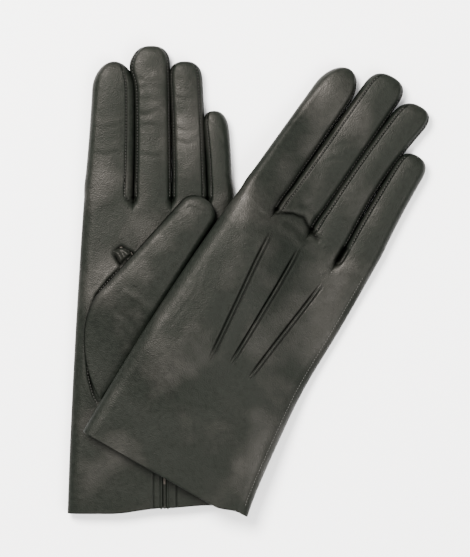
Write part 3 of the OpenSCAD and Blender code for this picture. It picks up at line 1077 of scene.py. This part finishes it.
def finger_bend(obj, glove, i):
    """Bakes the transform of a piece of a finger into its mesh."""
    low, high = root_bounds(glove)[i : i + 2]
    u, v = (low + high) / 2, glove.hand_len
    glove.point(u, v, 6.0)
    glove.point(u, v + 14, 6.0)
    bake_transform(obj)


def build_fingers(glove, pieces):
    """Dresses the fingers' leather, and adds their linings and stitches."""
    for i, finger in enumerate(FINGERS):
        name = f"{glove.side}_{finger}"
        inside = finger_rows(glove, i, LINING_STEP, inset=FINGER_LINING_INSET)
        inner = lining_tube(glove, f"{name}_inner", inside, close=True, flip=False)
        dress(pieces[f"{name}_skin"], "glove_leather", f"{name}_leather")
        dress(pieces[f"{name}_strips"], "gusset_leather", f"{name}_fourchettes")
        dress(inner, "lining", f"{name}_lining")
        rows = finger_rows(glove, i, 2.0)[:-8]
        columns = [SIDE_STEPS] if i > 0 else []
        columns += [SIDE_STEPS + PANEL_STEPS] if i < 3 else []
        lines = [[row[c, :3] + (0, 0, 0.02) for row in rows] for c in columns]
        thread = dress(stitches(f"{name}_stitches", glove, lines), "seam")
        for piece in (
            pieces[f"{name}_skin"],
            pieces[f"{name}_strips"],
            inner,
            thread,
        ):
            finger_bend(piece, glove, i)
        low, high = root_bounds(glove)[i : i + 2]


def buried_tucks(glove, u, v):
    """Height of the left glove's tucks, on the back that it lies on."""
    return np.full_like(u, 1.4)


def build_hand(glove, pieces):
    """Dresses the hand's leather and hem, and adds its lining, vent, tucks, quirk and seams."""
    side = glove.side
    hand = f"{side}_hand"
    skin = dress(pieces[f"{hand}_skin"], "glove_leather", f"{side}_hand_leather")
    hem = dress(pieces[f"{side}_hem_skin"], "hem_leather", f"{side}_cuff_hem")
    inside = [
        hand_row(glove, v, HAND_LINING_INSET)
        for v in np.linspace(HEM_DEPTH - 1.5, min(glove.crotches) - VALLEY, 55)
    ]
    inner = lining_tube(glove, f"{hand}_inner", inside, close=False, flip=True)
    dress(inner, "lining", f"{side}_hand_lining")
    on_top = side == "left"
    palm = top_height if on_top else under_height
    slit = [(VENT_ACROSS, v) for v in (-1.0, 8, 16, VENT_LENGTH)]
    edges = [moved(slit, -1.9), moved(slit, 1.9)]
    tucks_at = buried_tucks if on_top else top_height
    quirk = LEFT_QUIRK if on_top else RIGHT_QUIRK
    seam_line = [(u - 0.2, v) for u, v in THUMB_SEAM]
    seam_edge = [
        (float(glove.little_side(v)) - 3.4, v)
        for v in np.arange(4, glove.hand_len - 4, 8.0)
    ]

    def vent_floor(glove, u, v):
        return np.full_like(u, HAND_THICK - 2.6) if on_top else palm(glove, u, v)

    def on_face(face, path):
        line = np.array(curve_through(path, 0.8))
        h = face(glove, line[:, 0], line[:, 1]) + (0.05 if face is top_height else -0.05)
        return np.column_stack([line, h])

    made = [
        skin,
        hem,
        inner,
        dress(
            ribbon(f"{side}_vent_floor", glove, [slit], 2.6, 0.4, vent_floor, not on_top),
            "gusset_leather",
            f"{side}_vent_gusset",
        ),
        dress(
            ribbon(f"{side}_vent_edges", glove, edges, 2.3, 0.6, palm, not on_top),
            "hem_leather",
            f"{side}_vent_binding",
        ),
        dress(
            ribbon(f"{side}_tucks", glove, TUCKS, 1.3, 0.85, tucks_at),
            "glove_leather",
            f"{side}_back_points",
        ),
        dress(
            quirk_patch(f"{side}_quirk_patch", glove, quirk, palm, not on_top),
            "gusset_leather",
            f"{side}_thumb_quirk",
        ),
        dress(
            stitches(f"{side}_thumb_stitches", glove, [on_face(palm, seam_line)]),
            "seam",
            f"{side}_thumb_seam",
        ),
        dress(
            stitches(f"{side}_side_stitches", glove, [on_face(top_height, seam_edge)]),
            "seam",
            f"{side}_side_seam",
        ),
    ]
    for piece in made:
        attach(piece, hand)
    low, high = glove.edges(80.0)


def build_thumb(glove):
    """Builds a thumb's leather and lining; the right thumb's pieces ride with its joint."""
    name = f"{glove.side}_thumb"
    skin = Surface(glove)
    skin.rows(thumb_rows(glove, ROW_STEP), lambda number, j: f"{name}_skin", close=True)
    leather = dress(
        skin.objects()[f"{name}_skin"], "glove_leather", f"{name}_leather"
    )
    inside = thumb_rows(glove, LINING_STEP, THUMB_LINING_INSET)
    inner = lining_tube(glove, f"{name}_inner", inside, close=True, flip=False)
    dress(inner, "lining", f"{name}_lining")
    for piece in (leather, inner):
        if glove.side == "left":
            glove.point(-40.0, 100.0, 12.0)
            glove.point(-28.0, 100.0, 12.0)
            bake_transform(piece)
        else:
            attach(piece, "right_thumb")


for glove in (left, right):
    pieces = glove_skin(glove)
    build_hand(glove, pieces)
    build_fingers(glove, pieces)
    build_thumb(glove)


def area_light(name, at, size, power, colour):
    """A round soft light that shines at the middle of the pair."""
    light = bpy.data.lights.new(name, "AREA")
    light.shape = "DISK"
    light.size = size
    light.energy = power
    light.color = colour
    obj = bpy.data.objects.new(name, light)
    obj.location = at
    aim = -np.array(at)
    obj.rotation_mode = "QUATERNION"
    obj.rotation_quaternion = Vector(aim).to_track_quat("-Z", "Y")
    bpy.context.scene.collection.objects.link(obj)


def floor_material():
    made = Nodes("pale_floor")
    made.set(Base_Color=(0.97, 0.97, 0.97, 1.0), Roughness=0.95)
    return made.material


bpy.ops.mesh.primitive_plane_add(size=6, location=(0, 0, -0.0003))
floor = bpy.context.object
floor.name = "floor"
floor.data.materials.append(floor_material())

world = bpy.data.worlds.new("studio")
world.use_nodes = True
world.node_tree.nodes["Background"].inputs["Color"].default_value = (1, 1, 1, 1)
world.node_tree.nodes["Background"].inputs["Strength"].default_value = 1.4
bpy.context.scene.world = world
area_light("key", (-0.42, 0.5, 1.1), 0.55, 66.0, (1.0, 0.975, 0.95))
area_light("fill", (0.65, -0.45, 1.2), 0.9, 30.0, (1.0, 0.99, 0.98))

camera = bpy.data.cameras.new("camera")
camera.lens = 200
camera.sensor_width = 36
camera_at = bpy.data.objects.new("camera", camera)
# The camera looks straight down on the gloves, from where this length fills the picture's height
FRAME_HEIGHT = 0.3119
GLOVES_HEIGHT = 0.012
camera_at.location = (
    -0.0067,
    0.0011,
    GLOVES_HEIGHT + FRAME_HEIGHT * camera.lens / camera.sensor_width,
)
bpy.context.scene.collection.objects.link(camera_at)
bpy.context.scene.camera = camera_at
